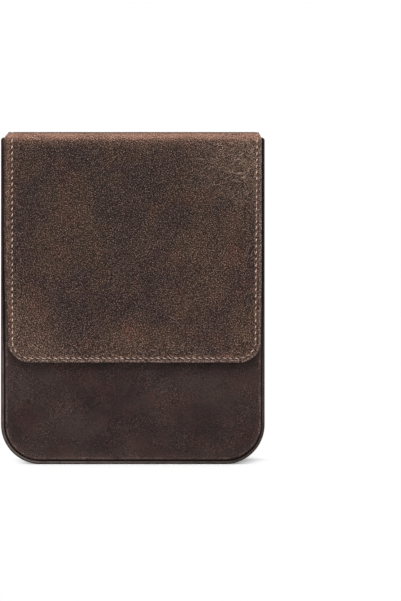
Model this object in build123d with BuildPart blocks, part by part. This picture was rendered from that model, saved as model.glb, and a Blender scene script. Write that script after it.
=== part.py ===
"""Leather pen case: a stiff box with a magnetic flap and a lift-out tray that holds six pens.

Millimetres. +Z is up, +X is to the right seen from the front, and the front faces -Y. The case stands on
its closed end, and the origin is in the middle of that end's flat face. A depth is measured forwards from
the middle of the case, so a depth of d is the plane Y = -d.
"""

import os
from math import pi

from build123d import *

# Outside of the case
case_width = 130.0
case_height = 161.0
case_depth = 28.0
corner_radius = 19.5

# Layers of the case's walls, from the outside in
skin = 1.2
board = 1.2
lining = 0.8
turn_in = 1.2
glue = 0.1

# How the front and back panels lie inside the rims of the side band
front_groove = 0.9
back_groove = 0.3
rim_drop = 0.7
panel_edge_round = 0.7
rim_round = 0.4

# Notch in the front panel
notch_width = 93.0
notch_depth = 72.0
notch_corner = 1.5

# Magnets that close the flap, and the rings that they press into the front
magnet_diameter = 18.0
magnet_play = 0.1
magnet_below_notch = 14.5
magnet_from_side = 23.7
front_magnet_thickness = 1.8
front_magnet_recess = 0.3
flap_magnet_thickness = 1.6
mark_width = 0.5
mark_depth = 0.2

# Flap and the strip that crosses the top of the case
flap_skin = 1.4
flap_suede = 1.0
flap_gap = 0.6
top_gap = 0.3
fold_inside_radius = 1.8
flap_length = 113.6
flap_taper = 1.5
flap_corner = 10.5
flap_edge_round = 0.5
disc_height = 0.3
disc_margin = 1.0

# Lift-out tray
tray_gap = 0.4
tray_front_gap = 0.6
tray_skin = 0.8
tray_board = 1.0
tray_lining = 0.6
tray_top_drop = 4.5
tray_rim_round = 0.3

# Padded ribs that keep the pens apart
rib_count = 5
rib_width = 6.0
rib_height = 7.5
rib_skin = 1.0
rib_top_drop = 4.5
rib_foot_gap = 0.3
rib_flat = 0.4

# Sewing
stitch_pitch = 3.0
stitch_length = 2.2
stitch_width = 0.6
stitch_height = 0.2
stitch_lift = 0.05
stitch_root_inset = 2.9
stitch_tip_inset = 1.9

# How far a cut runs past the face that it goes through
overrun = 1.0

# Case, worked out from the sizes above
wall = skin + board + lining
front_inset = skin + front_groove
back_inset = skin + back_groove
front_face = case_depth / 2
back_face = -case_depth / 2
inside_front = front_face - wall
inside_back = back_face + wall
rim_front = front_face - rim_drop
rim_back = back_face + rim_drop
band_top = case_height - skin

# Flap and strip, worked out from the sizes above: the leather is as wide as the back panel up to the flap
flap_root_width = case_width - 2 * back_inset
flap_tip_width = flap_root_width - 2 * flap_taper
flap_sheet = flap_skin + flap_suede
fold_radius = flap_sheet + fold_inside_radius
strip_under = case_height + top_gap
strip_middle = strip_under + flap_suede
strip_top = strip_under + flap_sheet
flap_inner = front_face + flap_gap
flap_middle = flap_inner + flap_suede
flap_outer = flap_inner + flap_sheet
flap_tip = strip_top - flap_length
fold_height = strip_top - fold_radius
front_fold_depth = flap_outer - fold_radius
back_fold_depth = back_face + fold_radius

# Magnets, worked out from the sizes above
magnet_side = case_width / 2 - magnet_from_side
magnet_height = case_height - notch_depth - magnet_below_notch
magnet_radius = magnet_diameter / 2
magnet_hole = magnet_radius + magnet_play
front_magnet_front = front_face - skin + front_magnet_recess
front_magnet_back = front_magnet_front - front_magnet_thickness
flap_magnet_back = flap_inner + flap_suede / 2 - disc_height
flap_magnet_front = flap_magnet_back + flap_magnet_thickness
magnet_places = {"left": (-magnet_side, magnet_height), "right": (magnet_side, magnet_height)}

# Tray, worked out from the sizes above
tray_wall = tray_skin + tray_board + tray_lining
tray_inset = wall + tray_gap
tray_inner_inset = tray_inset + tray_wall
tray_board_inset = tray_inset + tray_skin + tray_board
tray_back = inside_back + tray_gap
tray_front = inside_front - tray_front_gap
tray_rim_back = tray_front - tray_skin
tray_floor = tray_back + tray_wall
tray_top = case_height - tray_top_drop
rib_pitch = (case_width - 2 * tray_inner_inset) / (rib_count + 1)
rib_foot = tray_inner_inset + rib_foot_gap
rib_top = tray_top - rib_top_drop
rib_hollow = rib_width - 2 * rib_skin


def depth_plane(depth):
    """The upright plane at a depth, with X to the right and Z up the page."""
    return Plane.XZ.offset(depth)


def case_outline(inset, top):
    """The case's outline with its sides and closed end moved in, cut off level at the top."""
    with BuildSketch() as shape:
        with Locations((0, inset)):
            Rectangle(case_width - 2 * inset, top - inset, align=(Align.CENTER, Align.MIN))
        fillet(shape.vertices().group_by(Axis.Y)[0], corner_radius - inset)
    return shape.sketch


def front_outline(edge=0.0):
    """The front panel's outline with its notch, all its edges moved in."""
    floor = case_height - notch_depth - edge
    with BuildSketch() as shape:
        add(case_outline(front_inset + edge, case_height - edge))
        with Locations((0, floor)):
            Rectangle(
                notch_width + 2 * edge,
                2 * notch_depth,
                align=(Align.CENTER, Align.MIN),
                mode=Mode.SUBTRACT,
            )
        corners = shape.vertices().filter_by_position(Axis.Y, floor - glue, floor + glue)
        fillet(corners, notch_corner + edge)
    return shape.sketch


def back_outline(edge=0.0):
    """The back panel's outline, all its edges moved in."""
    return case_outline(back_inset + edge, fold_height - edge)


def flap_outline():
    """The flap laid flat, a little narrower at its free end."""
    root = flap_root_width / 2
    tip = flap_tip_width / 2
    with BuildSketch() as shape:
        with BuildLine():
            Polyline((-root, fold_height), (-tip, flap_tip), (tip, flap_tip), (root, fold_height), close=True)
        make_face()
        fillet(shape.vertices().group_by(Axis.Y)[0], flap_corner)
    return shape.sketch


os.makedirs("parts", exist_ok=True)

# Front panel: leather turned in over a board, with a suede lining and two magnets

with BuildPart() as front_leather:
    with BuildSketch(depth_plane(inside_front)):
        add(front_outline())
    extrude(amount=wall)
    fillet(front_leather.faces().sort_by(Axis.Y)[0].edges(), panel_edge_round)
    with BuildSketch(depth_plane(front_face - skin)):
        add(front_outline(turn_in))
    extrude(amount=-board - lining - overrun, mode=Mode.SUBTRACT)
    with BuildSketch(depth_plane(front_face - skin)):
        with Locations(*magnet_places.values()):
            Circle(magnet_hole)
    extrude(amount=front_magnet_recess, mode=Mode.SUBTRACT)
    with BuildSketch(depth_plane(front_face - mark_depth)):
        with Locations(*magnet_places.values()):
            Circle(magnet_radius + mark_width)
            Circle(magnet_radius, mode=Mode.SUBTRACT)
    extrude(amount=mark_depth + overrun, mode=Mode.SUBTRACT)
front_leather.part.label = "front_leather"
export_step(front_leather.part, "parts/front_leather.step")

with BuildPart() as front_board:
    with BuildSketch(depth_plane(inside_front + lining)):
        add(front_outline(turn_in + glue))
        with Locations(*magnet_places.values()):
            Circle(magnet_hole, mode=Mode.SUBTRACT)
    extrude(amount=board)
front_board.part.label = "front_board"
export_step(front_board.part, "parts/front_board.step")

with BuildPart() as front_lining:
    with BuildSketch(depth_plane(inside_front)):
        add(front_outline(turn_in + glue))
    extrude(amount=lining)
    with BuildSketch(depth_plane(front_magnet_back)):
        with Locations(*magnet_places.values()):
            Circle(magnet_hole)
    extrude(amount=wall, mode=Mode.SUBTRACT)
front_lining.part.label = "front_lining"
export_step(front_lining.part, "parts/front_lining.step")

for side, place in magnet_places.items():
    with BuildPart() as front_magnet:
        with BuildSketch(depth_plane(front_magnet_back)):
            with Locations(place):
                Circle(magnet_radius)
        extrude(amount=front_magnet_thickness)
    front_magnet.part.label = f"front_magnet_{side}"
    export_step(front_magnet.part, f"parts/front_magnet_{side}.step")

# Back panel, which ends where the leather turns over the top

with BuildPart() as back_leather:
    with BuildSketch(depth_plane(back_face)):
        add(back_outline())
    extrude(amount=wall)
    outer_edges = back_leather.faces().sort_by(Axis.Y)[-1].edges().sort_by(Axis.Z)
    fillet(outer_edges[:-1], panel_edge_round)
    with BuildSketch(depth_plane(back_face + skin)):
        add(back_outline(turn_in))
    extrude(amount=board + lining + overrun, mode=Mode.SUBTRACT)
back_leather.part.label = "back_leather"
export_step(back_leather.part, "parts/back_leather.step")

with BuildPart() as back_board:
    with BuildSketch(depth_plane(back_face + skin)):
        add(back_outline(turn_in + glue))
    extrude(amount=board)
back_board.part.label = "back_board"
export_step(back_board.part, "parts/back_board.step")

with BuildPart() as back_lining:
    with BuildSketch(depth_plane(back_face + skin + board)):
        add(back_outline(turn_in + glue))
    extrude(amount=lining)
back_lining.part.label = "back_lining"
export_step(back_lining.part, "parts/back_lining.step")

# Side band: down one side, round the closed end and up the other side, with its edges left as rims

with BuildPart() as band_leather:
    with BuildSketch(depth_plane(rim_back)):
        add(case_outline(0, case_height))
    extrude(amount=rim_front - rim_back)
    front_rim = band_leather.faces().sort_by(Axis.Y)[0].edges().sort_by(Axis.Z)[:-1]
    back_rim = band_leather.faces().sort_by(Axis.Y)[-1].edges().sort_by(Axis.Z)[:-1]
    fillet(front_rim + back_rim, rim_round)
    with BuildSketch(depth_plane(rim_back - overrun)):
        add(case_outline(skin, case_height + overrun))
    extrude(amount=rim_front - rim_back + 2 * overrun, mode=Mode.SUBTRACT)
    with BuildSketch(depth_plane(back_fold_depth)):
        for side in (-1, 1):
            with Locations((side * (case_width / 2 - wall / 2 - skin / 4), band_top)):
                Rectangle(wall - skin / 2, skin, align=(Align.CENTER, Align.MIN))
    extrude(amount=inside_front - back_fold_depth)
band_leather.part.label = "band_leather"
export_step(band_leather.part, "parts/band_leather.step")

with BuildPart() as band_board:
    with BuildSketch(depth_plane(inside_back)):
        add(case_outline(skin + glue, band_top))
        add(case_outline(skin + board, band_top + overrun), mode=Mode.SUBTRACT)
    extrude(amount=inside_front - inside_back)
band_board.part.label = "band_board"
export_step(band_board.part, "parts/band_board.step")

with BuildPart() as band_lining:
    with BuildSketch(depth_plane(inside_back)):
        add(case_outline(skin + board + glue, band_top))
        add(case_outline(wall, band_top + overrun), mode=Mode.SUBTRACT)
    extrude(amount=inside_front - inside_back)
band_lining.part.label = "band_lining"
export_step(band_lining.part, "parts/band_lining.step")

# Flap: leather sewn to suede, with two magnets between them under low discs

with BuildPart() as flap_leather:
    with BuildSketch(depth_plane(flap_middle)):
        add(flap_outline())
    extrude(amount=flap_skin)
    outer_edges = flap_leather.faces().sort_by(Axis.Y)[0].edges().sort_by(Axis.Z)
    fillet(outer_edges[:-1], flap_edge_round)
    with BuildSketch(depth_plane(flap_magnet_front)):
        with Locations(*magnet_places.values()):
            Circle(magnet_hole)
    extrude(amount=-flap_sheet, mode=Mode.SUBTRACT)
flap_leather.part.label = "flap_leather"
export_step(flap_leather.part, "parts/flap_leather.step")

with BuildPart() as flap_lining:
    with BuildSketch(depth_plane(flap_inner)):
        add(flap_outline())
    extrude(amount=flap_suede)
    with BuildSketch(depth_plane(flap_inner - disc_height)):
        with Locations(*magnet_places.values()):
            Circle(magnet_radius + disc_margin)
    extrude(amount=flap_suede)
    with BuildSketch(depth_plane(flap_magnet_back)):
        with Locations(*magnet_places.values()):
            Circle(magnet_hole)
    extrude(amount=flap_sheet, mode=Mode.SUBTRACT)
flap_lining.part.label = "flap_lining"
export_step(flap_lining.part, "parts/flap_lining.step")

for side, place in magnet_places.items():
    with BuildPart() as flap_magnet:
        with BuildSketch(depth_plane(flap_magnet_back)):
            with Locations(place):
                Circle(magnet_radius)
        extrude(amount=flap_magnet_thickness)
    flap_magnet.part.label = f"flap_magnet_{side}"
    export_step(flap_magnet.part, f"parts/flap_magnet_{side}.step")

# Strip across the top, between the two folds

with BuildSketch() as strip_outline:
    with Locations((0, -front_fold_depth)):
        Rectangle(flap_root_width, front_fold_depth - back_fold_depth, align=(Align.CENTER, Align.MIN))

with BuildPart() as strip_leather:
    with BuildSketch(Plane.XY.offset(strip_middle)):
        add(strip_outline.sketch)
    extrude(amount=flap_skin)
strip_leather.part.label = "strip_leather"
export_step(strip_leather.part, "parts/strip_leather.step")

with BuildPart() as strip_lining:
    with BuildSketch(Plane.XY.offset(strip_under)):
        add(strip_outline.sketch)
    extrude(amount=flap_suede)
strip_lining.part.label = "strip_lining"
export_step(strip_lining.part, "parts/strip_lining.step")

# Folds: a quarter turn of soft leather and of suede at each end of the strip


def fold_section(depth, start_angle, inner, outer):
    """A quarter ring about the middle of a fold, seen from the side."""
    middle = (-depth, fold_height)
    with BuildSketch() as shape:
        with BuildLine():
            near = CenterArc(middle, inner, start_angle, 90)
            far = CenterArc(middle, outer, start_angle, 90)
            Line(near @ 0, far @ 0)
            Line(near @ 1, far @ 1)
        make_face()
    return shape.sketch


with BuildPart() as front_fold_leather:
    with BuildSketch(Plane.YZ):
        add(fold_section(front_fold_depth, 90, fold_radius - flap_skin, fold_radius))
    extrude(amount=flap_root_width / 2, both=True)
front_fold_leather.part.label = "front_fold_leather"
export_step(front_fold_leather.part, "parts/front_fold_leather.step")

with BuildPart() as front_fold_lining:
    with BuildSketch(Plane.YZ):
        add(fold_section(front_fold_depth, 90, fold_inside_radius, fold_radius - flap_skin))
    extrude(amount=flap_root_width / 2, both=True)
front_fold_lining.part.label = "front_fold_lining"
export_step(front_fold_lining.part, "parts/front_fold_lining.step")

with BuildPart() as back_fold_leather:
    with BuildSketch(Plane.YZ):
        add(fold_section(back_fold_depth, 0, fold_radius - flap_skin, fold_radius))
    extrude(amount=flap_root_width / 2, both=True)
back_fold_leather.part.label = "back_fold_leather"
export_step(back_fold_leather.part, "parts/back_fold_leather.step")

with BuildPart() as back_fold_lining:
    with BuildSketch(Plane.YZ):
        add(fold_section(back_fold_depth, 0, fold_inside_radius, fold_radius - flap_skin))
    extrude(amount=flap_root_width / 2, both=True)
back_fold_lining.part.label = "back_fold_lining"
export_step(back_fold_lining.part, "parts/back_fold_lining.step")

# Tray: a floor and a wall of covered board, open at the top and at the front

with BuildPart() as tray_wall_leather:
    with BuildSketch(depth_plane(tray_back)):
        add(case_outline(tray_inset, tray_top))
    extrude(amount=tray_front - tray_back)
    rim_edges = tray_wall_leather.faces().sort_by(Axis.Y)[0].edges().sort_by(Axis.Z)
    fillet(rim_edges[:-1], tray_rim_round)
    with BuildSketch(depth_plane(tray_rim_back)):
        add(case_outline(tray_inset + tray_skin, tray_top + overrun))
    extrude(amount=tray_back - tray_rim_back - overrun, mode=Mode.SUBTRACT)
    with BuildSketch(depth_plane(tray_front + overrun)):
        add(case_outline(tray_board_inset, tray_top + overrun))
    extrude(amount=-tray_skin - 2 * overrun, mode=Mode.SUBTRACT)
tray_wall_leather.part.label = "tray_wall_leather"
export_step(tray_wall_leather.part, "parts/tray_wall_leather.step")

with BuildPart() as tray_wall_board:
    with BuildSketch(depth_plane(tray_floor)):
        add(case_outline(tray_inset + tray_skin + glue, tray_top))
        add(case_outline(tray_board_inset, tray_top + overrun), mode=Mode.SUBTRACT)
    extrude(amount=tray_rim_back - tray_floor)
tray_wall_board.part.label = "tray_wall_board"
export_step(tray_wall_board.part, "parts/tray_wall_board.step")

with BuildPart() as tray_wall_lining:
    with BuildSketch(depth_plane(tray_floor)):
        add(case_outline(tray_board_inset + glue, tray_top))
        add(case_outline(tray_inner_inset, tray_top + overrun), mode=Mode.SUBTRACT)
    extrude(amount=tray_front - tray_floor)
tray_wall_lining.part.label = "tray_wall_lining"
export_step(tray_wall_lining.part, "parts/tray_wall_lining.step")

with BuildPart() as tray_floor_leather:
    with BuildSketch(depth_plane(tray_back)):
        add(case_outline(tray_inset + tray_skin + glue, tray_top))
    extrude(amount=tray_skin)
tray_floor_leather.part.label = "tray_floor_leather"
export_step(tray_floor_leather.part, "parts/tray_floor_leather.step")

with BuildPart() as tray_floor_board:
    with BuildSketch(depth_plane(tray_back + tray_skin)):
        add(case_outline(tray_inset + tray_skin + glue, tray_top))
    extrude(amount=tray_board)
tray_floor_board.part.label = "tray_floor_board"
export_step(tray_floor_board.part, "parts/tray_floor_board.step")

with BuildPart() as tray_floor_lining:
    with BuildSketch(depth_plane(tray_back + tray_skin + tray_board)):
        add(case_outline(tray_inset + tray_skin + glue, tray_top))
    extrude(amount=tray_lining)
tray_floor_lining.part.label = "tray_floor_lining"
export_step(tray_floor_lining.part, "parts/tray_floor_lining.step")

# Ribs: a firm cord under leather, with a round back and a round upper end


def rib_outline(place, width, foot):
    """A rib seen from the front, with its round end at the top."""
    middle = rib_top - rib_width / 2
    with BuildSketch() as shape:
        with Locations((place, foot)):
            Rectangle(width, middle - foot, align=(Align.CENTER, Align.MIN))
        with Locations((place, middle)):
            Circle(width / 2)
    return shape.sketch


def back_edges(rib):
    """The edges round a rib's back, without the one at its foot."""
    return rib.faces().sort_by(Axis.Y)[0].edges().sort_by(Axis.Z)[1:]


for number in range(1, rib_count + 1):
    rib_place = (number - (rib_count + 1) / 2) * rib_pitch

    with BuildPart() as hollow:
        with BuildSketch(depth_plane(tray_floor)):
            add(rib_outline(rib_place, rib_hollow, rib_foot - overrun))
        extrude(amount=rib_height - rib_skin)
        fillet(back_edges(hollow), (rib_hollow - rib_flat) / 2)

    with BuildPart() as rib_leather:
        with BuildSketch(depth_plane(tray_floor)):
            add(rib_outline(rib_place, rib_width, rib_foot))
        extrude(amount=rib_height)
        fillet(back_edges(rib_leather), (rib_width - rib_flat) / 2)
        add(hollow.part, mode=Mode.SUBTRACT)
    rib_leather.part.label = f"rib_leather_{number}"
    export_step(rib_leather.part, f"parts/rib_leather_{number}.step")

    with BuildPart() as rib_core:
        with BuildSketch(depth_plane(tray_floor)):
            add(rib_outline(rib_place, rib_hollow - 2 * glue, rib_foot))
        extrude(amount=rib_height - rib_skin - glue)
        fillet(back_edges(rib_core), (rib_hollow - 2 * glue - rib_flat) / 2)
    rib_core.part.label = f"rib_core_{number}"
    export_step(rib_core.part, f"parts/rib_core_{number}.step")

# Sewing: each stitch is a short bar that lies on its seam


def stitch_places(path, outward):
    """Where the stitches of a row lie along a path, on a face that looks outward."""
    count = round(path.length / stitch_pitch)
    lift = Vector(*outward) * stitch_lift
    places = []
    for n in range(count):
        distance = (n + 0.5) * path.length / count
        origin = path.position_at(distance, position_mode=PositionMode.LENGTH) + lift
        along = path.tangent_at(distance, position_mode=PositionMode.LENGTH)
        places.append(Plane(origin, x_dir=along, z_dir=outward))
    return places


def flap_stitch_line(depth):
    """The line round the flap's two sides and its free end."""
    root = flap_root_width / 2 - stitch_root_inset
    tip = flap_tip_width / 2 - stitch_tip_inset
    free_end = flap_tip + stitch_tip_inset
    with BuildLine(depth_plane(depth)) as line:
        FilletPolyline(
            (-root, fold_height),
            (-tip, free_end),
            (tip, free_end),
            (root, fold_height),
            radius=flap_corner - stitch_tip_inset,
        )
    return line.wire()


def strip_stitch_line(side, height):
    """The line along one end of the strip."""
    place = side * (flap_root_width / 2 - stitch_root_inset)
    with BuildLine() as line:
        Polyline((place, -front_fold_depth, height), (place, -back_fold_depth, height))
    return line.wire()


with BuildPart() as flap_thread:
    outer_row = stitch_places(flap_stitch_line(flap_outer), (0, -1, 0))
    inner_row = stitch_places(flap_stitch_line(flap_inner), (0, 1, 0))
    with Locations(*outer_row, *inner_row):
        Box(stitch_length, stitch_width, stitch_height, align=(Align.CENTER, Align.CENTER, Align.MIN))
flap_thread.part.label = "flap_thread"
export_step(flap_thread.part, "parts/flap_thread.step")

with BuildPart() as strip_thread:
    for side in (-1, 1):
        upper_row = stitch_places(strip_stitch_line(side, strip_top), (0, 0, 1))
        under_row = stitch_places(strip_stitch_line(side, strip_under), (0, 0, -1))
        with Locations(*upper_row, *under_row):
            Box(stitch_length, stitch_width, stitch_height, align=(Align.CENTER, Align.CENTER, Align.MIN))
strip_thread.part.label = "strip_thread"
export_step(strip_thread.part, "parts/strip_thread.step")

# The middle of each fold's layers keeps its length when the fold opens flat about these lines
fold_reach = pi / 4 * (fold_radius - flap_sheet / 2)
print("front fold turns about Y", -front_fold_depth - fold_reach, "Z", fold_height + fold_reach)
print("back fold turns about Y", -back_fold_depth + fold_reach, "Z", fold_height + fold_reach)
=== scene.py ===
# %% [markdown]
# # A leather pen case
# The case is a stiff box of leather over board. Its flap is one sheet of leather with the back: it runs up
# the back, over the open top and down the front, where hidden magnets hold it. Inside stands a tray with
# padded ribs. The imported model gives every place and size, and this lesson makes the skins that are seen.

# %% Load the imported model
import math

import bpy
import numpy as np
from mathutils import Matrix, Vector, noise


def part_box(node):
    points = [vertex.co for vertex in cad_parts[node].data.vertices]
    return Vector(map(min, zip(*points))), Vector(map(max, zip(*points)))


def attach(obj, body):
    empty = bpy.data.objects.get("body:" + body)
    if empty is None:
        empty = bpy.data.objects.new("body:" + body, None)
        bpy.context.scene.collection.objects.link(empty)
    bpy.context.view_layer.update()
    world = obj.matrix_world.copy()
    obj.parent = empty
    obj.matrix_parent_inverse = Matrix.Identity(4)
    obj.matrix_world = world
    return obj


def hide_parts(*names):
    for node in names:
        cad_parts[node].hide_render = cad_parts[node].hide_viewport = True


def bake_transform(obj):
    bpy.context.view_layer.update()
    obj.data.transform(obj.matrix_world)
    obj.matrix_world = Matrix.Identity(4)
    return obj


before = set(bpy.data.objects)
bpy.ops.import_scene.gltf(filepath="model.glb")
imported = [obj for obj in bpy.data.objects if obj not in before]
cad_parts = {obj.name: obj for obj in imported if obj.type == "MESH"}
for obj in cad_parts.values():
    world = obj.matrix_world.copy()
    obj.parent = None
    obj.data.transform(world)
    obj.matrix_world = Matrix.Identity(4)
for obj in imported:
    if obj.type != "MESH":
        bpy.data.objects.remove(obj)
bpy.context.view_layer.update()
mm = 0.001

# %% [markdown]
# ## Camera
# The photograph looks straight at the front from far off: the case's sides show no perspective. A long lens
# a few metres away gives that. The case's width in pixels sets the scale, and its lower edge sets the
# height.

# %% Camera
photo_height = 601
photo_middle_x = 200.5
photo_middle_y = 300.5
case_left_pixel = 0.9
case_right_pixel = 264.7
case_foot_pixel = 464.1
camera_distance = 2.5
sensor_width = 36.0

band_low, band_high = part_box("band_leather")
case_half = band_high.x
pixel = 2 * case_half / (case_right_pixel - case_left_pixel)
camera_x = (photo_middle_x - (case_left_pixel + case_right_pixel) / 2) * pixel
camera_z = (case_foot_pixel - photo_middle_y) * pixel

camera_data = bpy.data.cameras.new("camera")
camera_data.sensor_width = sensor_width
camera_data.lens = sensor_width * (camera_distance + band_low.y) / (photo_height * pixel)
camera_data.clip_end = 12 * camera_distance
camera = bpy.data.objects.new("camera", camera_data)
camera.location = (camera_x, -camera_distance, camera_z)
camera.rotation_euler = (math.pi / 2, 0, 0)
bpy.context.scene.collection.objects.link(camera)
bpy.context.scene.camera = camera
print("pixel", round(pixel / mm, 4), "mm, lens", round(camera_data.lens, 1))

# %% [markdown]
# ## Shader sums
# A finish is a recipe: so much mottling, less of it near the edge. This class wraps a socket of a
# material's nodes so that the recipe reads as a sum. Colours are mixed with Mix nodes, because a Math node
# turns them grey.

# %% Shader sums
class Wire:
    """A socket of a material's nodes that can be used in sums like a number."""

    def __init__(self, tree, socket=None):
        self.tree = tree
        self.socket = socket

    def node(self, kind, settings=None, inputs=None, output=0):
        """Adds a node of a kind, with its settings and its sockets, and wraps one of its outputs."""
        made = self.tree.nodes.new("ShaderNode" + kind)
        for name, value in (settings or {}).items():
            setattr(made, name, value)
        for name, value in (inputs or {}).items():
            if isinstance(value, Wire):
                self.tree.links.new(value.socket, made.inputs[name])
            else:
                made.inputs[name].default_value = value
        return Wire(self.tree, made.outputs[output] if made.outputs else None)

    def maths(self, operation, *values):
        return self.node("Math", {"operation": operation}, dict(enumerate(values)))

    def vector(self, operation, *values, output="Vector"):
        """Sums on colours and vectors, which a Math node would turn into one number."""
        return self.node("VectorMath", {"operation": operation}, dict(enumerate(values)), output)

    def __add__(self, other):
        return self.maths("ADD", self, other)

    __radd__ = __add__

    def __sub__(self, other):
        return self.maths("SUBTRACT", self, other)

    def __rsub__(self, other):
        return self.maths("SUBTRACT", other, self)

    def __mul__(self, other):
        return self.maths("MULTIPLY", self, other)

    __rmul__ = __mul__

    def rising(self, low, high):
        """0 below low, 1 above high and a soft step between; a falling step if low is above high."""
        flip = low > high
        settings = {"interpolation_type": "SMOOTHSTEP"}
        limits = {"From Min": min(low, high), "From Max": max(low, high)}
        ends = {"To Min": float(flip), "To Max": float(not flip)}
        return self.node("MapRange", settings, {"Value": self, **limits, **ends}, "Result")

    def between(self, start, full, fading, end):
        """0 up to start, 1 from full to fading, and 0 again from end."""
        return self.rising(start, full) * self.rising(end, fading)

    def blended(self, first, second):
        """The first colour where this is 0, and the second where it is 1."""
        return self.node("Mix", {"data_type": "RGBA"}, {0: self, 6: first, 7: second}, 2)

    def painted(self, share, *colour):
        """This colour where the share is 0, and a colour of the screen where it is 1."""
        return share.blended(self, paint(*colour))

    def lit(self, stops):
        """This colour made lighter or darker: 0 stops leave it, 1 doubles its light and -1 halves it."""
        factor = self.maths("POWER", 2.0, stops)
        return self.node("VectorMath", {"operation": "SCALE"}, {0: self, "Scale": factor})


def paint(red, green, blue):
    """A colour of the screen, 0 to 255, as the numbers that Blender takes."""
    shares = [value / 255 for value in (red, green, blue)]
    return tuple(s / 12.92 if s <= 0.04045 else ((s + 0.055) / 1.055) ** 2.4 for s in shares) + (1.0,)


flat_place = ("Attribute", {"attribute_name": "flat"}, {}, "Vector")
own_place = ("TexCoord", {}, {}, "Object")


def start_finish(name, where=flat_place):
    """A new material, its shader and a point's place: flat is across, along and in from the edge."""
    material = bpy.data.materials.new(name)
    material.use_nodes = True
    shader = material.node_tree.nodes["Principled BSDF"]
    return material, shader, Wire(material.node_tree).node(*where)


def end_finish(shader, colour, roughness, relief, depth, gloss):
    """Joins a recipe's colour, roughness and relief to the shader."""
    shader.inputs["Specular IOR Level"].default_value = gloss
    heights = {"Strength": 1.0, "Distance": depth, "Height": relief}
    bump = colour.node("Bump", {}, heights, "Normal")
    for wire, name in ((colour, "Base Color"), (roughness, "Roughness"), (bump, "Normal")):
        wire.tree.links.new(wire.socket, shader.inputs[name])


print("brown as Blender's numbers", [round(x, 3) for x in paint(74, 60, 54)])

# %% [markdown]
# ## Where a finish sits on its leather
# A grain that is tied to the room would slide when the flap opens. Each sheet here keeps its own flat
# pattern instead: how far across, how far along, and how far in from its edge. The finishes read that, as a
# tanner's marks stay on the hide.

# %% Patterns on the flat leather
def part_of(place, axis):
    return place.node("SeparateXYZ", {}, {0: place}, axis)


def mottle(place, size, detail=2.0, rough=0.5, shift=0.0):
    """Smooth noise from 0 to 1 whose patches have this size in metres."""
    moved = place.vector("ADD", place, (shift, shift, shift))
    inputs = {"Vector": moved, "Scale": 1 / size, "Detail": detail, "Roughness": rough}
    return place.node("TexNoise", {}, inputs, "Fac")


def patchy(place, size, shift, low, high, least, detail=3.0, rough=0.5):
    """Wear that comes and goes: it varies from least to 1, in patches of this size."""
    return mottle(place, size, detail, rough, shift).rising(low, high) * (1 - least) + least


def pebbles(place, size):
    """The small rounded cells of a leather's grain: 0 in the creases between them, 1 on top."""
    inputs = {"Vector": place, "Scale": 1 / size, "Smoothness": 0.35, "Randomness": 1.0}
    cells = place.node("TexVoronoi", {"feature": "SMOOTH_F1"}, inputs, "Distance")
    return 1 - cells.rising(0.1, 0.75)


def stretched(place, stretch, size, shift, turn=0.0, detail=2.0):
    """Noise that is drawn out across the sheet, or along another direction if it is turned."""
    frame_of_noise = {"Location": (shift, shift, 0), "Rotation": (0, 0, turn), "Scale": (stretch, 1, 1)}
    inputs = {"Vector": place, **frame_of_noise}
    turned = place.node("Mapping", {"vector_type": "TEXTURE"}, inputs, "Vector")
    return mottle(turned, size, detail)


def scratches(place, turn, stretch, size, shift):
    """Fine straight marks: drawn out noise that is cut off near its top."""
    return stretched(place, stretch, size, shift, turn, 0.0).rising(0.66, 0.76)


def far_from(place, middle):
    """How far a point lies from a spot of the sheet."""
    away = place.vector("SUBTRACT", place, (*middle, 0))
    flat_away = place.vector("MULTIPLY", away, (1, 1, 0))
    return place.vector("LENGTH", flat_away, output="Value")


def soft_spot(place, middle, reach):
    """1 at a spot of the sheet and falling softly to 0 at its reach."""
    return far_from(place, middle).rising(reach, 0)


def ring_mark(place, middle, radius, width):
    """1 along a circle on the sheet and falling to 0 on both sides of it."""
    return far_from(place, middle).between(radius - width, radius, radius, radius + width)


print("patterns ready")

# %% [markdown]
# ## Places along the cover
# One hide covers the back, the top strip and the flap. Its finish and its shape both need to know where
# along it the two folds lie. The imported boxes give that: a fold is a quarter turn, as long as the middle of
# its layers.

# %% Places along the cover
fold_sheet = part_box("strip_leather")[1].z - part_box("strip_lining")[0].z
back_low, back_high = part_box("back_leather")
flap_low, flap_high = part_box("flap_leather")
strip_low, strip_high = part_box("strip_leather")
fold_z = flap_high.z
fold_outer = strip_high.z - fold_z
strip_skin = strip_high.z - strip_low.z
fold_length = math.pi / 2 * (fold_outer - fold_sheet / 2)
strip_length = strip_high.y - strip_low.y
front_fold_start = fold_length + strip_length
flap_start = front_fold_start + fold_length
flap_end = flap_start + fold_z - flap_low.z
print("fold", round(fold_length / mm, 2), "mm, strip", round(strip_length / mm, 2), "mm")
print("flap's end at", round(flap_end / mm, 1), "mm")
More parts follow.
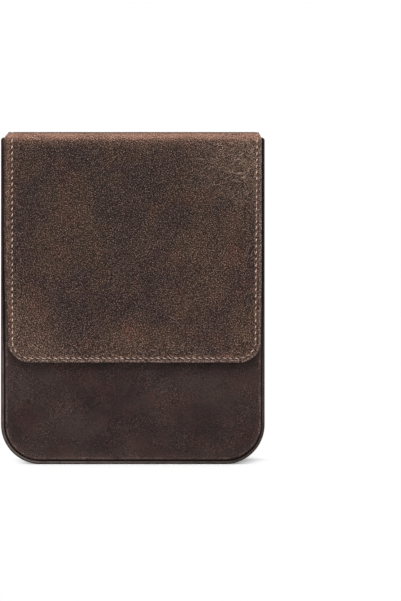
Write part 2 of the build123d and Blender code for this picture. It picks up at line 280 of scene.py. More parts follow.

# %% [markdown]
# ## Waxed leather
# The flap is pull-up leather: wax lies in it, so it is dark and uneven, and it turns lighter where it is
# bent, stretched or rubbed. The recipe is built in layers, as the real surface was: browns in patches of
# one to two centimetres, dusky under the fold and paler where thumbs lift the flap; then the rim outside
# the sewing, with its worn cut edge and painted shade down the left side; then the wear of the folds; and
# over all the fine grain, in colour and in relief.

# %% Patches of the hide
def hide_patches(place, along, thumbed):
    """Browns in patches, darker in two dusky places and paler where hands rub."""
    tone = mottle(place, 26 * mm, 4.0, 0.55)
    warm = mottle(place, 13 * mm, 3.0, shift=0.3)
    red = mottle(place, 15 * mm, 3.0, shift=0.7)
    rubbed = thumbed + soft_spot(place, (-60 * mm, flap_end - 4 * mm), 40 * mm)
    rubbed = rubbed + along.rising(flap_end - 20 * mm, flap_end - 8 * mm) * 0.2
    rubbed = rubbed * patchy(place, 9 * mm, 4.4, 0.2, 0.7, 0.4)
    dusk = soft_spot(place, (-25 * mm, flap_start + 35 * mm), 80 * mm)
    dusk = dusk + soft_spot(place, (38 * mm, flap_start + 30 * mm), 42 * mm) * 0.8

    browns = (tone * 0.6 + warm * 0.4).rising(0.4, 0.6)
    colour = browns.blended(paint(50, 33, 31), paint(57, 40, 30))
    colour = colour.painted(red.rising(0.54, 0.7) * 0.5, 68, 39, 31)
    colour = colour.lit((tone - 0.5) * 2.6 + (warm - 0.5) * 0.7 - dusk * 0.5)
    return colour.painted(rubbed * 0.6, 90, 71, 59)


print("patches for a hide", round((flap_end - back_low.z + fold_z) / mm), "mm long")

# %% Rim and folds of the hide
def rim_of_hide(place, colour, belt):
    """Outside the sewing: a pale belt, a crease and a worn cut edge, with painted shade down the left."""
    across, along, inward = (part_of(place, axis) for axis in "XYZ")
    colour = colour.painted(belt * 0.85, 92, 66, 55)
    # Painted shade: the left edge is darkened as if the light came from the right.
    shaded = across.rising(0, -10 * mm) * along.rising(flap_end - 6 * mm, flap_end - 14 * mm)
    rim = inward.rising(1.4 * mm, 0.8 * mm) * patchy(place, 1.1 * mm, 1.9, 0.2, 0.7, 0, rough=0.65)
    colour = colour.painted(rim * (1 - shaded) * 0.7, 110, 97, 92)
    # The painted shade on the left edge.
    colour = colour.painted(inward.rising(1.4 * mm, 0.6 * mm) * shaded * 0.9, 38, 27, 22)
    crease = inward.between(1.15 * mm, 1.5 * mm, 2.1 * mm, 2.5 * mm) * (1 - shaded)
    return colour.painted(crease * 0.65, 44, 31, 26)


def fold_wear(place, along):
    """1 where the hide is bent, in streaks across it, with a faint tail down the flap."""
    front_start, front_full = front_fold_start + 0.7 * mm, front_fold_start + 2.2 * mm
    front_bend = along.between(front_start, front_full, flap_start - 1.7 * mm, flap_start + 0.8 * mm)
    tail_start, tail_full = front_fold_start + 1.5 * mm, front_fold_start + 2.5 * mm
    tail = along.between(tail_start, tail_full, flap_start - 1.2 * mm, flap_start + 5.0 * mm) * 0.22
    back_bend = along.between(-2.5 * mm, 1.2 * mm, fold_length - 1.5 * mm, fold_length + 1.5 * mm)
    streaks = stretched(place, 8.0, 1.4 * mm, 0.37).rising(0.1, 0.62)
    uneven = streaks * mottle(place, 11 * mm, 2.0, shift=2.1).rising(0.05, 0.5)
    return (front_bend * 0.85 + tail + back_bend * 0.6) * (uneven * 0.7 + 0.3)


print("wear from", round(front_fold_start / mm, 1), "to", round(flap_start / mm, 1), "mm")

# %% Waxed leather
def waxed_leather():
    material, shader, place = start_finish("waxed_leather")
    along = part_of(place, "Y")
    thumbed = soft_spot(place, (60 * mm, flap_start + 2 * mm), 44 * mm)
    belt = part_of(place, "Z").rising(4.2 * mm, 2.2 * mm) * patchy(place, 5 * mm, 1.3, 0.1, 0.6, 0.4)
    bend = fold_wear(place, along)
    colour = rim_of_hide(place, hide_patches(place, along, thumbed), belt)
    colour = colour.painted(bend, 145, 107, 90)

    grain = mottle(place, 0.4 * mm, 1.0)
    cells = pebbles(place, 0.7 * mm)
    light = (grain - 0.5) * 1.8 + (cells - 0.62) * 0.25
    on_strip = along.rising(front_fold_start + fold_length / 2, front_fold_start)
    colour = colour.lit(light * (1 - bend * 0.6) * (1 - on_strip * 0.4) * 8.6 - 0.1)
    colour = colour.painted(light.rising(0.0, 0.5) * (0.7 - on_strip * 0.3), 146, 128, 117)
    marks = scratches(place, 0.2, 9.0, 0.55 * mm, 0.04) + scratches(place, -0.5, 7.0, 0.6 * mm, 0.11)
    colour = colour.painted(marks * thumbed * (0.7 - on_strip * 0.4), 140, 118, 104)

    roughness = 0.54 + grain * 0.16 + belt * 0.08
    end_finish(shader, colour, roughness, cells * 0.4 + grain * 0.8, 0.11 * mm, gloss=0.14)
    return material


waxed = waxed_leather()
print("finish", waxed.name)

# %% [markdown]
# ## Smooth leather of the box
# The box is covered with the same hide, glued tight over board, so it is smoother and darker, with a faint
# reddish bloom. Rims go grey or pale where hands and tables rub them, and the magnets under the front have
# left a worn ring each. The band's rubbed crests are painted paler on the left, as painted light from that
# side, and fade out up the sides, as painted shade beside the flap. Painted shade also darkens the cut walls
# of the front and the band down into their grooves and the notch. One recipe with other numbers serves the
# front, the band, the tray and the ribs.

# %% Wear of smooth leather
magnet_low, magnet_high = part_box("flap_magnet_right")
magnet_x = (magnet_low.x + magnet_high.x) / 2
magnet_z = (magnet_low.z + magnet_high.z) / 2
magnet_radius = (magnet_high.x - magnet_low.x) / 2
magnet_along = flap_start + fold_z - magnet_z
ring_radius = magnet_radius + 0.25 * mm


def edge_wear(place, edge_zone, least):
    """1 in a zone in from the edge, in patches, and a little less at the right and at the foot."""
    across, along, inward = (part_of(place, axis) for axis in "XYZ")
    start, end = edge_zone
    worn = inward.rising(end, (start + end) / 2) * 0.8 + inward.rising(3 * end, end) * 0.2
    worn = worn * inward.rising(start - 0.3 * mm, start) * (1 - across.rising(0, 60 * mm) * 0.2)
    worn = worn * (1 - along.rising(11 * mm, 4 * mm) * 0.3)
    return worn * patchy(place, 4 * mm, 7.7, 0.3, 0.62, least, rough=0.6)


def crest_wear_and_light(place):
    """1 on the rubbed crest of a standing rim; painted light makes it more at the left, and painted shade
    fades it out half way up the sides.
    """
    along, inward = part_of(place, "Y"), part_of(place, "Z")
    rubbed = inward.between(-1.0 * mm, -0.75 * mm, -0.3 * mm, -0.1 * mm)
    rubbed = rubbed * patchy(place, 5 * mm, 2.9, 0.3, 0.6, 0.5)
    # Painted light: the crest is paler at the left, as if lit from that side.
    rubbed = rubbed * (along.rising(60 * mm, -60 * mm) * 0.6 + 0.4)
    # Painted shade: the crest fades out up the sides, where the flap would shade the rims.
    return rubbed * along.between(-150 * mm, -115 * mm, 115 * mm, 150 * mm)


print("magnet rings of radius", round(ring_radius / mm, 2), "mm")

# %% Smooth leather
def smooth_leather(
    name, colours, grain_depth, edge_zone, bloom=0.35, grain_stops=3.0, worn_all=0.6, crest=None, rings=()
):
    """Its colours are dark, light, and that of the worn zone and rings; a standing rim has a crest colour.
    Walls that use it get painted shade.
    """
    material, shader, place = start_finish(name)
    dark, light, edge = colours
    tone = mottle(place, 22 * mm, 4.0, shift=5.1)
    haze = mottle(place, 12 * mm, 3.0, shift=6.3)
    red = [round(value * factor) for value, factor in zip(light, (1.12, 0.9, 0.86))]
    colour = tone.rising(0.36, 0.64).blended(paint(*dark), paint(*light))
    colour = colour.painted(haze.rising(0.44, 0.64) * bloom, *red)
    colour = colour.lit((tone - 0.5) * 1.4)
    colour = colour.painted(edge_wear(place, edge_zone, worn_all) * 0.85, *edge)
    for middle in rings:
        inside = far_from(place, middle).rising(ring_radius + 0.5 * mm, ring_radius - 1 * mm)
        mark = ring_mark(place, middle, ring_radius + 0.3 * mm, 1.3 * mm)
        mark = mark * patchy(place, 3 * mm, 8.6, 0.25, 0.6, 0.3, 2.0)
        colour = colour.painted(mark * 0.55 + inside * 0.06, *edge)

    grain = mottle(place, 0.42 * mm, 1.0)
    cells = pebbles(place, 0.8 * mm)
    light_grain = (grain - 0.5) * 1.6 + (cells - 0.62) * 0.3
    light_grain = light_grain * patchy(place, 11 * mm, 8.8, 0.36, 0.64, 0.4)
    # Painted shade: the cut walls darken below the outer face, down into the grooves and the notch.
    wall_shade = part_of(place, "Z").rising(0, -0.4 * mm)
    colour = colour.lit(light_grain * grain_stops - wall_shade * 1.7)
    specks = mottle(place, 0.9 * mm, 0.0, shift=8.2).rising(0.76, 0.84)
    colour = colour.painted(specks * 0.5, *edge)
    if crest:
        # The crest's wear, with painted light and shade laid over it.
        colour = colour.painted(crest_wear_and_light(place) * 0.85, *crest)
    roughness = 0.5 + grain * 0.14 + tone * 0.08
    end_finish(shader, colour, roughness, cells * 0.5 + grain * 0.7, grain_depth, gloss=0.14)
    print("finish", name)
    return material


front_zone, band_zone = (0.45 * mm, 1.5 * mm), (-5 * mm, 1.8 * mm)
tray_zone, rib_zone = (-5 * mm, 0.8 * mm), (-5 * mm, 0.6 * mm)
magnet_rings = [(-magnet_x, magnet_z), (magnet_x, magnet_z)]
front_colours = [(44, 32, 30), (53, 41, 38), (96, 76, 70)]
front_wear = {"bloom": 0.4, "grain_stops": 5.2, "worn_all": 0.15, "rings": magnet_rings}
front_finish = smooth_leather("smooth_front_leather", front_colours, 0.07 * mm, front_zone, **front_wear)
band_colours = [(66, 54, 47), (80, 67, 58), (26, 20, 17)]
band_wear = {"bloom": 0.2, "crest": (100, 89, 85)}
band_finish = smooth_leather("side_band_leather", band_colours, 0.11 * mm, band_zone, **band_wear)
tray_colours = [(50, 38, 33), (62, 48, 41), (104, 84, 72)]
tray_finish = smooth_leather("tray_leather", tray_colours, 0.05 * mm, tray_zone)
rib_colours = [(56, 43, 36), (72, 55, 47), (88, 70, 60)]
rib_finish = smooth_leather("rib_leather", rib_colours, 0.08 * mm, rib_zone)

# %% [markdown]
# ## Cut edges
# Where a sheet is cut through, the fibres show. On the flap they have been dyed dark and have worn, in
# streaks that follow the cut.

# %% Cut edges
def cut_edge(name, dark, light):
    material, shader, place = start_finish(name)
    fibres = mottle(place, 0.35 * mm, 3.0, 0.7)
    wear = mottle(place, 7 * mm, 3.0, shift=9.1)
    colour = (fibres * 0.5 + wear * 0.8 - 0.15).rising(0.2, 0.8).blended(paint(*dark), paint(*light))
    end_finish(shader, colour, 0.62 + fibres * 0.2, fibres, 0.08 * mm, gloss=0.25)
    print("finish", name)
    return material


flap_edge = cut_edge("flap_cut_edge", (44, 32, 27), (96, 74, 64))
dark_edge = cut_edge("dark_cut_edge", (26, 19, 17), (52, 41, 36))

# %% [markdown]
# ## Suede
# The lining is split leather with its nap raised. Nap has no gloss: it is soft, and cloudy where fingers
# have laid it over. It is creased dark and rubbed pale along the folds, and pale round the discs that press
# through. Sheen adds the bright haze of fibres seen edge on.

# %% Suede
def suede(name, dark, light, red, folds=(), discs=()):
    """Raised nap, creased along its folds and rubbed round its discs."""
    material, shader, place = start_finish(name)
    along = part_of(place, "Y")
    brushed = mottle(place, 34 * mm, 5.0, 0.55, shift=11.3)
    streaks = mottle(place, 5 * mm, 4.0, 0.65, shift=12.9)
    warm = mottle(place, 24 * mm, 3.0, shift=15.2)
    nap = mottle(place, 0.5 * mm, 3.0, 0.75)
    uneven = streaks.rising(0.3, 0.6)
    on_strip = along.rising(front_fold_start + 2 * mm, front_fold_start)
    colour = (brushed * 0.8 + streaks * 0.2).rising(0.34, 0.62).blended(paint(*dark), paint(*light))
    colour = colour.painted(warm.rising(0.5, 0.66) * 0.3, *red)
    colour = colour.lit((streaks - 0.5) * 1.3 - on_strip * 0.35)
    for middle in discs:
        inside = far_from(place, middle).rising(magnet_radius + 1.2 * mm, magnet_radius + 0.2 * mm)
        colour = colour.painted(inside * 0.35, 118, 90, 74)
        mark = ring_mark(place, middle, magnet_radius + 1.1 * mm, 0.8 * mm)
        colour = colour.painted(mark * uneven * 0.6, 150, 120, 100)
    for fold in folds:
        away = place.maths("ABSOLUTE", along - fold)
        colour = colour.painted(away.rising(0.9 * mm, 0.2 * mm) * 0.7, 32, 22, 18)
        beside = away.between(0.8 * mm, 1.4 * mm, 1.6 * mm, 3.0 * mm) * uneven
        colour = colour.painted(beside * 0.4, 136, 106, 88)
    colour = colour.lit((nap - 0.5) * 4.0)
    shader.inputs["Sheen Weight"].default_value = 0.12
    shader.inputs["Sheen Roughness"].default_value = 0.5
    end_finish(shader, colour, 0.86 + nap * 0.1, nap, 0.12 * mm, gloss=0.12)
    print("finish", name)
    return material


crease_places = [0.5 * fold_length, front_fold_start + 0.5 * fold_length]
disc_places = [(-magnet_x, magnet_along), (magnet_x, magnet_along)]
cover_suede = suede("cover_suede", (62, 46, 36), (100, 75, 62), (100, 66, 58), crease_places, disc_places)
lining_finish = suede("suede_lining", (64, 47, 38), (92, 69, 58), (86, 60, 50))
tray_lining_finish = suede("tray_suede", (40, 31, 27), (56, 45, 39), (54, 38, 33))

# %% [markdown]
# ## Thread, board, cord and steel
# The thread is waxed linen, two plies twisted, pale outside and brown on the suede side. Board, cord and
# magnets hide inside the walls and only show when the model is taken apart, but they get their real look
# too. The board is a dark brown fibre board.

# %% Thread and inner materials
def linen_thread(name, dark, light, dirt_and_shade_colour):
    """Twisted fibres, with painted shade where the thread dives into its holes, and dirty down the right
    side.
    """
    material, shader, place = start_finish(name)
    across, lengthwise = part_of(place, "X"), part_of(place, "Z")
    fibres = stretched(place, 1.0, 0.12 * mm, 0.9)
    dirt = mottle(place, 2.4 * mm, 1.0, shift=14.1)
    colour = dirt.rising(0.25, 0.6).blended(paint(*dark), paint(*light))
    # Painted shade: the thread darkens towards both ends, where it dives into its holes.
    hole_shade = 1 - lengthwise.between(-1.0 * mm, -0.2 * mm, 0.4 * mm, 1.1 * mm)
    grubby = across.rising(50 * mm, 60 * mm) * 0.16
    colour = colour.painted(hole_shade * 0.7 + grubby, *dirt_and_shade_colour)
    colour = colour.painted(fibres.rising(0.5, 0.3) * 0.3, *dirt_and_shade_colour)
    end_finish(shader, colour, 0.6 + fibres * 0.15, fibres, 0.03 * mm, gloss=0.3)
    return material


def hidden_finish(nodes, name, dark, light, size, roughness, metallic=0.0):
    """Fine noise in colour, gloss and relief, tied to the object itself, for the CAD nodes with this word."""
    material, shader, place = start_finish(name, own_place)
    grains = mottle(place, size, 4.0, 0.65)
    colour = grains.rising(0.3, 0.7).blended(paint(*dark), paint(*light))
    shader.inputs["Metallic"].default_value = metallic
    end_finish(shader, colour, roughness + grains * 0.15, grains, 0.05 * mm, gloss=0.4)
    matching = [piece for node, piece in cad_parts.items() if nodes in node]
    for piece in matching:
        piece.data.materials.clear()
        piece.data.materials.append(material)
    print(name, "on", len(matching), "nodes")


thread_finish = linen_thread("linen_thread", (172, 144, 130), (232, 212, 198), (114, 88, 76))
inner_thread = linen_thread("brown_thread", (92, 70, 58), (122, 96, 82), (66, 48, 39))
hidden_finish("board", "fibre_board", (48, 37, 31), (70, 55, 46), 0.7 * mm, 0.8)
hidden_finish("core", "rib_cord", (176, 164, 142), (206, 196, 176), 0.5 * mm, 0.8)
hidden_finish("magnet", "magnet_steel", (150, 152, 156), (188, 190, 194), 1.2 * mm, 0.22, 1.0)

# %% [markdown]
# ## A sheet on a grid
# Every skin here is a thin closed sheet: an outer face, an inner face and the cut edge between them. It is
# made on a grid of lines, close together beside the edges, where the shape turns, and wider in the middle.
# Each grid point has a place on the flat leather, and other functions bend that place into the room.

# %% Grid lines
edge_steps = [0, 0.08, 0.2, 0.35, 0.55, 0.8, 1.0, 1.19, 1.21, 1.5, 1.9, 2.3, 2.6, 2.9, 3.2, 3.6, 4.2, 5]
edge_steps = np.array(edge_steps) * mm


def grid_lines(low, high, step, edges=(True, True)):
    """Places of grid lines from low to high, closer together beside an end that is an edge."""
    first = low + edge_steps if edges[0] else np.array([low])
    last = high - edge_steps[::-1] if edges[1] else np.array([high])
    count = max(2, math.ceil((last[0] - first[-1]) / step) + 1)
    return np.concatenate([first[:-1], np.linspace(first[-1], last[0], count), last[1:]])


def joined(*groups):
    return np.unique(np.round(np.concatenate(groups), 8))


print("edge lines from", edge_steps[0], "to", edge_steps[-1])

# %% Sheets
def new_piece(name, points, faces, flats, finishes):
    """A mesh whose points keep their places on the flat leather, for its finish to read."""
    mesh = bpy.data.meshes.new(name)
    mesh.from_pydata(points.reshape(-1, 3).tolist(), [], faces)
    marks = mesh.attributes.new("flat", "FLOAT_VECTOR", "POINT")
    marks.data.foreach_set("vector", flats.astype(np.float32).ravel())
    for finish in finishes:
        mesh.materials.append(finish)
    mesh.shade_smooth()
    piece = bpy.data.objects.new(name, mesh)
    bpy.context.scene.collection.objects.link(piece)
    return piece


def sheet_piece(name, flat, to_room, heights, finish, edge, kept=None):
    """A closed sheet from its flat places; heights are its outer and its inner face's above the path."""
    across, along, inward = flat
    upper, lower = heights
    top = np.stack(to_room(across, along, upper), axis=-1).reshape(-1, 3)
    bottom = np.stack(to_room(across, along, lower), axis=-1).reshape(-1, 3)
    flat_top = np.stack([across, along, np.minimum(inward, 8 * mm)], axis=-1).reshape(-1, 3)
    flat_bottom = np.stack([across, along, -np.abs(upper - lower)], axis=-1).reshape(-1, 3)

    index = np.arange(across.size).reshape(across.shape)
    cells = np.stack([index[:-1, :-1], index[:-1, 1:], index[1:, 1:], index[1:, :-1]], axis=-1)
    cells = cells.reshape(-1, 4) if kept is None else cells[kept]
    first = top[cells[:, 1]] - top[cells[:, 0]]
    second = top[cells[:, 2]] - top[cells[:, 0]]
    outward = top[cells[:, 0]] - bottom[cells[:, 0]]
    if np.median(np.einsum("ij,ij->i", np.cross(first, second), outward)) < 0:
        cells = cells[:, ::-1]
    edges = np.concatenate([cells[:, [k, (k + 1) % 4]] for k in range(4)]).tolist()
    known = {tuple(pair) for pair in edges}
    border = np.array([pair for pair in edges if (pair[1], pair[0]) not in known])
    walls = np.column_stack([border[:, ::-1], border + across.size])
    faces = np.concatenate([cells, cells[:, ::-1] + across.size, walls])
    used, compact = np.unique(faces, return_inverse=True)
    points = np.concatenate([top, bottom])[used]
    flats = np.concatenate([flat_top, flat_bottom])[used]

    piece = new_piece(name, points, compact.reshape(faces.shape).tolist(), flats, [finish, edge, dark_edge])
    kinds = np.repeat([0, 2, 1], [len(cells), len(cells), len(walls)])
    piece.data.polygons.foreach_set("material_index", kinds.astype(np.int32))
    piece.data.set_sharp_from_angle(angle=math.radians(50))
    piece.data.update()
    print(name, "faces", len(faces))
    return piece


def rides(piece, body, slot, *nodes):
    """Hangs a piece on the body that carries it and hides the CAD nodes it stands for; the slot is not used.
    """
    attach(piece, body)
    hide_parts(*nodes)


# %% [markdown]
# ## Round corners and soft faces
# A square grid gets round corners by pulling its rings in towards the corner's middle, so the lines beside
# the edge stay beside it. The faces get the small heights that make leather: edges rounded by folding or
# sanding, a valley where thread pulls the sheet down, and slow swells that no glued hide is without.

# %% Corners and heights
def smooth_step(value, low, high):
    share = np.clip((value - low) / (high - low), 0, 1)
    return share * share * (3 - 2 * share)


def round_corner(across, along, corner, side, way, radius, reach=None):
    """Makes a corner of the grid round, ring by ring; with a reach, the change fades out towards it."""
    middle_x = corner[0] - side * radius
    middle_y = corner[1] - way * radius
    reach_x = (across - middle_x) * side
    reach_y = (along - middle_y) * way
    ring = np.maximum(reach_x, reach_y)
    span = np.maximum(np.hypot(reach_x, reach_y), 1e-9)
    fade = 1 - smooth_step(ring, radius, reach) if reach else 1
    inside = (reach_x > 0) & (reach_y > 0)
    pull = np.where(inside, (np.maximum(ring, 1e-9) / span) ** fade, 1.0)
    return middle_x + (across - middle_x) * pull, middle_y + (along - middle_y) * pull


def rounded_grid(columns, rows, half, end, radius, way=-1):
    """Flat places of a sheet with two round corners: at its last rows if way is 1, else at its first."""
    across, along = np.meshgrid(columns, rows)
    for side in (-1, 1):
        across, along = round_corner(across, along, (side * half, end), side, way, radius)
    return across, along


def notched_lines(half, low, top, notch_half, notch_floor, side_step, step):
    """Columns and rows of a panel with a notch in its upper edge."""
    sides = [grid_lines(-half, -notch_half, side_step), grid_lines(notch_half, half, side_step)]
    columns = joined(*sides, grid_lines(-notch_half, notch_half, step))
    rows = joined(grid_lines(low, notch_floor, step), grid_lines(notch_floor, top, step))
    return columns, rows


def beside_notch(columns, rows, notch_half, notch_floor):
    """Which cells of a grid a notch leaves."""
    middle_x = np.abs(columns[1:] + columns[:-1]) / 2
    middle_z = (rows[1:] + rows[:-1]) / 2
    return (middle_x[None, :] >= notch_half) | (middle_z[:, None] <= notch_floor)


def panel_distance(across, along, half, low, radius):
    """How far in from the edge a point lies; the panel has two round lower corners and no upper edge."""
    side = half - np.abs(across)
    foot = along - low
    in_corner = (side < radius) & (foot < radius)
    turn = radius - np.hypot(radius - side, radius - foot)
    return np.where(in_corner, turn, np.minimum(side, foot))


def edge_drop(inward, radius):
    """A quarter round along the edge."""
    short = np.clip(radius - inward, 0, radius)
    return np.sqrt(np.maximum(radius**2 - short**2, 0)) - radius


def bell(value, middle, width):
    """1 at the middle and falling softly to 0 on both sides."""
    return np.exp(-(((value - middle) / width) ** 2))


def swells(across, along, size, height, seed):
    """Slow rises and falls of a glued sheet."""
    places = zip(across.ravel() / size, along.ravel() / size)
    values = [noise.noise(Vector((a, b, seed))) for a, b in places]
    return height * np.array(values).reshape(across.shape)


print("a bell halfway out", round(float(bell(0.5, 0, 1)), 2))

# %% [markdown]
# ## The cover: back, strip and flap
# On the real case one hide runs from the foot of the back over the top to the free end of the flap. Here it
# is two sheets that meet in the middle of the top strip, where nothing bends, because each of them crosses
# one fold. Both follow one path: a straight back, a quarter turn, the strip, a quarter turn and the flap,
# which leans a little towards its free end.

# %% Path of the cover
back_y = back_high.y
flap_y = flap_low.y
back_fold_y = back_y - fold_outer
front_fold_y = flap_y + fold_outer
root_half = flap_high.x
strip_half = root_half - 1.6 * mm
strip_shift = 0.4 * mm
flap_corner = 10.5 * mm
tip_half = 61.9 * mm
tip_shift = 1.0 * mm
strip_middle_along = fold_length + strip_length / 2


def drawn_in(along):
    """1 on the strip, where the cover is a little narrower, and 0 on the back and the flap."""
    return smooth_step(along, 0, fold_length) - smooth_step(along, front_fold_start + 0.6 * mm, flap_start)


def leant(along):
    """0 down most of the flap, rising to 1 at its free end, which is narrower and has crept to one side."""
    return np.clip((along - flap_start) / (flap_end - flap_start), 0, 1) ** 4


def cover_half(along):
    return root_half + (strip_half - root_half) * drawn_in(along) + (tip_half - root_half) * leant(along)


def cover_middle(along):
    return strip_shift * drawn_in(along) + tip_shift * leant(along)


def cover_place(across, along, height):
    """Bends a flat place of the cover into the room; height is measured out from the cover's outer face."""
    x = cover_middle(along) + across * cover_half(along) / root_half
    first_turn = np.clip(along / fold_length, 0, 1) * math.pi / 2
    second_turn = np.clip((along - front_fold_start) / fold_length, 0, 1) * math.pi / 2
    reach = fold_outer + height
    on_back = along < fold_length
    on_strip = (along >= fold_length) & (along <= front_fold_start)
    y_back = back_fold_y + reach * np.cos(first_turn)
    z_back = fold_z + reach * np.sin(first_turn) + np.minimum(along, 0)
    y_front = front_fold_y - reach * np.sin(second_turn)
    z_front = fold_z + reach * np.cos(second_turn) - np.maximum(along - flap_start, 0)
    y = np.where(on_strip, back_fold_y - (along - fold_length), np.where(on_back, y_back, y_front))
    return x, y, np.where(on_back, z_back, z_front)


def crosses(piece, fold, slot, *nodes):
    """Bakes a piece's place into its mesh and hides the CAD nodes it stands for; the fold and the slot are
    not used.
    """
    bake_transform(piece)
    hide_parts(*nodes)


print("path from", round((back_low.z - fold_z) / mm, 1), "to", round(flap_end / mm, 1), "mm")

# %% [markdown]
# The flap's grid has close lines beside both sides and the free end, and close rows over the fold. Its
# outer face is rounded at the rim, has a creased line beside the rim, and sinks along the sewing. The
# sewing isn't quite in line with the flap.

# %% Flap leather
root_inset, tip_inset = 3.2 * mm, 2.1 * mm
root_drift, tip_drift = 0.9 * mm, 0.6 * mm
sewing_width = 0.42 * mm


def sewing_line(along):
    """Half the width of the sewing, and its middle in the room."""
    share = np.clip((along - flap_start) / (flap_end - flap_corner - flap_start), 0, 1)
    half = root_half - root_inset + (tip_half - tip_inset - root_half + root_inset) * share
    return half, root_drift + (tip_drift - root_drift) * share


def sewn(across, along):
    """1 under the thread, where it pulls the leather down."""
    half, drift = sewing_line(along)
    x = cover_middle(along) + across * cover_half(along) / root_half
    inward = panel_distance(x - drift, -along, half, -flap_end + tip_inset, flap_corner - tip_inset)
    return bell(np.abs(inward), 0, sewing_width)


def from_magnet(across, along, height_of_magnet):
    """Distance from the nearer magnet's middle."""
    return np.hypot(np.abs(across) - magnet_x, along - height_of_magnet)


def flap_distance(across, along):
    return panel_distance(across, -along, root_half, -flap_end, flap_corner)


def flap_face(across, along):
    """The height of the flap's outer face."""
    inward = flap_distance(across, along)
    calm = smooth_step(along, front_fold_start - 3 * mm, flap_start + 8 * mm)
    uneven = swells(across, along, 22 * mm, 0.22 * mm, 3.1) + swells(across, along, 7 * mm, 0.06 * mm, 5.2)
    face = edge_drop(inward, 0.7 * mm) - 0.1 * mm * bell(inward, 1.85 * mm, 0.2 * mm)
    face = face - 0.26 * mm * sewn(across, along) + calm * uneven - 0.02 * mm
    near = from_magnet(across, along, magnet_along)
    return face + 0.12 * mm * smooth_step(near, magnet_radius + 3 * mm, magnet_radius - 1 * mm)


flap_columns = grid_lines(-root_half, root_half, 1.3 * mm)
flap_rows = joined(
    np.linspace(strip_middle_along, front_fold_start, 9),
    np.linspace(front_fold_start, flap_start, 13),
    grid_lines(flap_start, flap_end, 1.3 * mm, (False, True)),
)
across, along = rounded_grid(flap_columns, flap_rows, root_half, flap_end, flap_corner, 1)
flap_flat = (across, along, flap_distance(across, along))
over_magnet = from_magnet(across, along, magnet_along) < magnet_radius + 0.1 * mm
heights = (flap_face(across, along), 0.45 * mm * over_magnet - strip_skin)
flap_piece = sheet_piece("flap_cover", flap_flat, cover_place, heights, waxed, flap_edge)
crosses(flap_piece, "front", "pull_up_leather", "flap_leather", "front_fold_leather", "strip_leather")

# %% [markdown]
# The back sheet is glued over the back board and turned in round it. Its inner face therefore has two
# levels: the skin's own thickness over the board, and the full wall where it is turned in at the edge.

# %% Back leather
back_half = back_high.x
back_radius = 18.0 * mm
back_start = back_low.z - fold_z
skin = 1.2 * mm
turned_in = 1.2 * mm
wall = back_high.y - back_low.y
back_rows = joined(
    grid_lines(back_start, -1.25 * mm, 1.6 * mm, (True, False)),
    np.array([-1.21, -1.19, -0.6]) * mm,
    np.linspace(0, fold_length, 13),
    np.linspace(fold_length, strip_middle_along, 9),
)
back_columns = grid_lines(-back_half, back_half, 1.6 * mm)
across, along = rounded_grid(back_columns, back_rows, back_half, back_start, back_radius)
inward = panel_distance(across, along, back_half, back_start, back_radius)
calm = smooth_step(along, -1 * mm, -12 * mm)
outer = edge_drop(inward, 0.7 * mm) - 0.02 * mm
outer = outer - 0.12 * mm * sewn(across, along) * smooth_step(along, -1 * mm, 1 * mm)
outer = outer + calm * swells(across, along, 30 * mm, 0.14 * mm, 8.3)
outer = outer + calm * swells(across, along, 8 * mm, 0.04 * mm, 9.2)
over_board = (inward > turned_in) & (along < -turned_in)
inner = np.where(along <= 0, np.where(over_board, -skin, -wall), -strip_skin)
back_flat = (across, along, inward)
back_piece = sheet_piece("back_cover", back_flat, cover_place, (outer, inner), waxed, flap_edge)
crosses(back_piece, "back", "pull_up_leather", "back_leather", "back_fold_leather")

# %% [markdown]
# ## Suede inside the cover
# The suede is sewn to the flap and strip, and shows when the case is open. It creases at the two folds, and
# is pared thin over the front one, where it would touch the front panel. The magnets push two low discs up
# under it, each with a pressed rim.

# %% Suede of the flap and strip
def suede_face(across, along):
    """The suede's free face, measured out from the cover's outer face."""
    from_disc = from_magnet(across, along, magnet_along)
    disc = smooth_step(from_disc, magnet_radius + 1.1 * mm, magnet_radius + 0.4 * mm) * 0.26 * mm
    rim = 0.12 * mm * bell(from_disc, magnet_radius + 1.9 * mm, 0.5 * mm)
    pared = smooth_step(along, front_fold_start - 2 * mm, front_fold_start)
    pared = pared * smooth_step(along, flap_start + 5 * mm, flap_start + 2 * mm)
    rise = disc - rim + swells(across, along, 15 * mm, 0.1 * mm, 21.0) - 0.06 * mm
    rise = rise + 0.16 * mm * smooth_step(along, flap_start + 3 * mm, flap_start + 12 * mm)
    rise = rise - 0.22 * mm * pared
    for place in crease_places:
        rise = rise - 0.25 * mm * bell(along, place, 0.5 * mm)
    rise = rise + edge_drop(flap_distance(across, along), 0.3 * mm) - 0.14 * mm * sewn(across, along)
    return -fold_sheet - rise


suede_top = -strip_skin - 0.02 * mm
heights = (suede_face(*flap_flat[:2]), suede_top - 0.5 * mm * over_magnet)
flap_suede = sheet_piece("flap_suede", flap_flat, cover_place, heights, cover_suede, flap_edge)
crosses(flap_suede, "front", "suede_lining", "flap_lining", "front_fold_lining", "strip_lining")

strip_rows = joined(np.linspace(0, fold_length, 13), np.linspace(fold_length, strip_middle_along, 9))
across, along = np.meshgrid(flap_columns, strip_rows)
strip_flat = (across, along, root_half - np.abs(across))
heights = (suede_face(across, along), np.full_like(across, suede_top))
strip_suede = sheet_piece("strip_suede", strip_flat, cover_place, heights, cover_suede, flap_edge)
crosses(strip_suede, "back", "suede_lining", "back_fold_lining")

# %% [markdown]
# ## Front panel
# The front is a plate of board with leather drawn over it and turned in. Its notch lets a hand reach the
# pens. The two magnets under the skin have pressed a ring each into it from years of closing. In the
# photograph its right edge lies a little nearer to the band.

